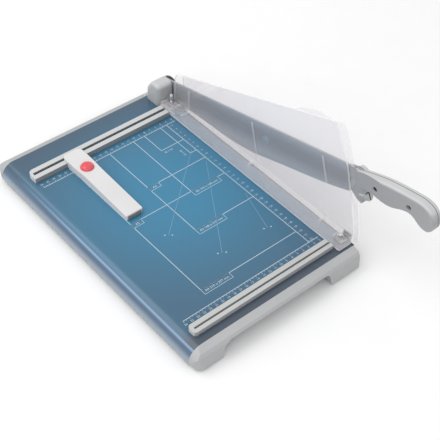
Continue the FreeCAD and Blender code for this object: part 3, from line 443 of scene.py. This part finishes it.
# Formats as width and length
CARD = (85, 55)
CARD_TURNED = (55, 85)
A6 = (105, 148)
A6_TURNED = (148, 105)
A5 = (148, 210)
A5_TURNED = (210, 148)
A4 = (210, 297)

# Each boxed label: the format that it hangs on, the box's width and depth, and the words in its middle
LABELS = (
    (A4, 47, 9, "A4 210 x 297 mm"),
    (A5, 48, 10, "A5 148 x 210 mm"),
    (A6, 48, 10, "A6 105 x 148 mm"),
    (A6_TURNED, 18, 8, "A6"),
    (A5_TURNED, 17, 8, "A5"),
)

# The card's own labels stand outside its outlines: words, X, Y and turn
CARD_LABELS = (("85 x 55", -76.5, -61.5, 0.0), ("55 x 85", -63, -77.5, math.pi / 2))

# Angle lines aim at Y = FAN_Y on the cutting edge: X and Y of the far end, and X of the near end
FAN_Y = -38
ANGLES = ((-182, -195, -50), (-147, -264.5, -48), (-69, -267.5, -48))
MARKS = ((-186, -192), (-178, -198), (-152, -262), (-142, -267), (-74, -266), (-64, -269))


def lay(name, points, faces, material):
    """Puts one printed mesh on the table."""
    mesh = bpy.data.meshes.new(name)
    mesh.from_pydata(points, [], faces)
    mesh.update()
    obj = bpy.data.objects.new(name, mesh)
    bpy.context.collection.objects.link(obj)
    obj.data.materials.append(material)
    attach(obj, "base")


class Sheet:
    """Collects thin flat strips into one mesh."""

    def __init__(self):
        self.points = []
        self.faces = []

    def strip(self, x0, y0, x1, y1, width):
        start = Vector((x0, y0, 0))
        end = Vector((x1, y1, 0))
        along = end - start
        across = Vector((-along.y, along.x, 0)).normalized() * width / 2
        base = len(self.points)
        for corner in (start + across, start - across, end - across, end + across):
            self.points.append(tuple(place(corner.x, corner.y, PRINT_RISE)))
        self.faces.append((base, base + 1, base + 2, base + 3))

    def frame_box(self, x0, y0, x1, y1, width):
        for line in ((x0, y0, x1, y0), (x1, y0, x1, y1), (x1, y1, x0, y1), (x0, y1, x0, y0)):
            self.strip(*line, width)


def tick_length(mm):
    return LONG_TICK if mm % CENTIMETRE == 0 else SHORT_TICK


lines = Sheet()
lines.strip(RULE_LEFT, BACK_RULE, RULE_RIGHT, BACK_RULE, LINE)
lines.strip(RULE_LEFT, FRONT_RULE, RULE_RIGHT, FRONT_RULE, LINE)
lines.strip(SIDE_RULE, BACK_RULE, SIDE_RULE, FRONT_RULE, LINE)
for mm in ACROSS_TICKS:
    lines.strip(-mm, BACK_RULE, -mm, BACK_RULE + tick_length(mm), TICK_LINE)
    lines.strip(-mm, FRONT_RULE, -mm, FRONT_RULE - tick_length(mm), TICK_LINE)
for mm in ALONG_TICKS:
    lines.strip(SIDE_RULE, -mm, SIDE_RULE + tick_length(mm), -mm, TICK_LINE)
for width, length in (CARD, CARD_TURNED, A5, A4, A6):
    lines.strip(-width, BACK_RULE, -width, -length, LINE)
for width, length in (CARD, CARD_TURNED, A6_TURNED, A5, A4, A5_TURNED):
    lines.strip(SIDE_RULE, -length, -width, -length, LINE)
for (width, length), wide, deep, _ in LABELS:
    lines.frame_box(-width, -length, wide - width, -length - deep, BOX_LINE)
for x, y in MARKS:
    lines.strip(x - MARK / 2, y, x + MARK / 2, y, MARK)
lay("printed_lines", lines.points, lines.faces, MATS["print"])

fan = Sheet()
for x, y, near_x in ANGLES:
    fan.strip(near_x, FAN_Y + (y - FAN_Y) * near_x / x, x, y, ANGLE_LINE)
lay("printed_angles", fan.points, fan.faces, MATS["faint"])


def write(words, x, y, size, turn=0.0):
    """Mesh of flat printed words with their middle at X and Y."""
    curve = bpy.data.curves.new("words", "FONT")
    curve.body = words
    curve.size = size * MM
    curve.align_x = "CENTER"
    curve.align_y = "CENTER"
    curve.resolution_u = 2
    text = bpy.data.objects.new("words", curve)
    bpy.context.collection.objects.link(text)
    bpy.context.view_layer.update()
    mesh = bpy.data.meshes.new_from_object(text)
    bpy.data.objects.remove(text)
    mesh.transform(Matrix.Translation(place(x, y, PRINT_RISE)) @ Matrix.Rotation(turn, 4, "Z"))
    return mesh


pieces = []
for cm in ACROSS_NUMBERS:
    pieces.append(write(str(cm), -CENTIMETRE * cm, BACK_NUMBERS, ACROSS_SIZE))
    pieces.append(write(str(cm), -CENTIMETRE * cm, FRONT_NUMBERS, ACROSS_SIZE))
for cm in ALONG_NUMBERS:
    pieces.append(write(str(cm), SIDE_NUMBERS, -CENTIMETRE * cm, ALONG_SIZE))
for (width, length), wide, deep, words in LABELS:
    pieces.append(write(words, wide / 2 - width, -length - deep / 2, LABEL_SIZE))
for words, x, y, turn in CARD_LABELS:
    pieces.append(write(words, x, y, CARD_SIZE, turn))

number_points = []
number_faces = []
for mesh in pieces:
    base = len(number_points)
    number_points.extend(tuple(vertex.co) for vertex in mesh.vertices)
    number_faces.extend(tuple(base + i for i in face.vertices) for face in mesh.polygons)
lay("printed_numbers", number_points, number_faces, MATS["print"])

# Floor and light, in metres

FLOOR_HALF = 6.0
FLOOR_Z = -0.5 * MM
WORLD_STRENGTH = 0.85

floor_mesh = bpy.data.meshes.new("floor")
corners = [(-1, -1), (1, -1), (1, 1), (-1, 1)]
floor_mesh.from_pydata([(x * FLOOR_HALF, y * FLOOR_HALF, FLOOR_Z) for x, y in corners], [], [(0, 1, 2, 3)])
floor = bpy.data.objects.new("floor", floor_mesh)
bpy.context.collection.objects.link(floor)
floor.data.materials.append(plain("pale_floor", (0.93, 0.93, 0.93), (0.94, 0.94, 0.94), rough=0.9, depth=0.0))

world = bpy.data.worlds.new("studio")
bpy.context.scene.world = world
world.use_nodes = True
background = world.node_tree.nodes["Background"]
background.inputs["Color"].default_value = (1.0, 1.0, 1.0, 1.0)
background.inputs["Strength"].default_value = WORLD_STRENGTH


def lamp(name, where, at, size, power):
    light = bpy.data.lights.new(name, "AREA")
    light.shape = "RECTANGLE"
    light.size, light.size_y = size
    light.energy = power
    obj = bpy.data.objects.new(name, light)
    bpy.context.collection.objects.link(obj)
    obj.location = where
    aim = Vector(at) - Vector(where)
    obj.rotation_euler = aim.to_track_quat("-Z", "Y").to_euler()


lamp("key", where=(-0.9, 0.9, 1.8), at=(0, 0, 0), size=(1.6, 1.2), power=14)
lamp("fill", where=(-1.4, -1.2, 1.2), at=(0, 0, 0.05), size=(1.2, 1.2), power=6)

# Camera solved from the crossings of the printed format lines: millimetres of the work frame, and degrees
CAMERA_AT = (-769.879, -957.117, 1003.133)
CAMERA_TURN = (44.6664, -1.4894, -40.1911)
LENS = 84.82
SENSOR = 36.0
VIEW_END = 50.0

view = bpy.data.cameras.new("camera")
view.sensor_width = SENSOR
view.lens = LENS
view.clip_end = VIEW_END
camera = bpy.data.objects.new("camera", view)
bpy.context.collection.objects.link(camera)
camera.location = place(*CAMERA_AT)
camera.rotation_euler = [math.radians(angle) for angle in CAMERA_TURN]
bpy.context.scene.camera = camera
bpy.context.scene.view_settings.view_transform = "Standard"
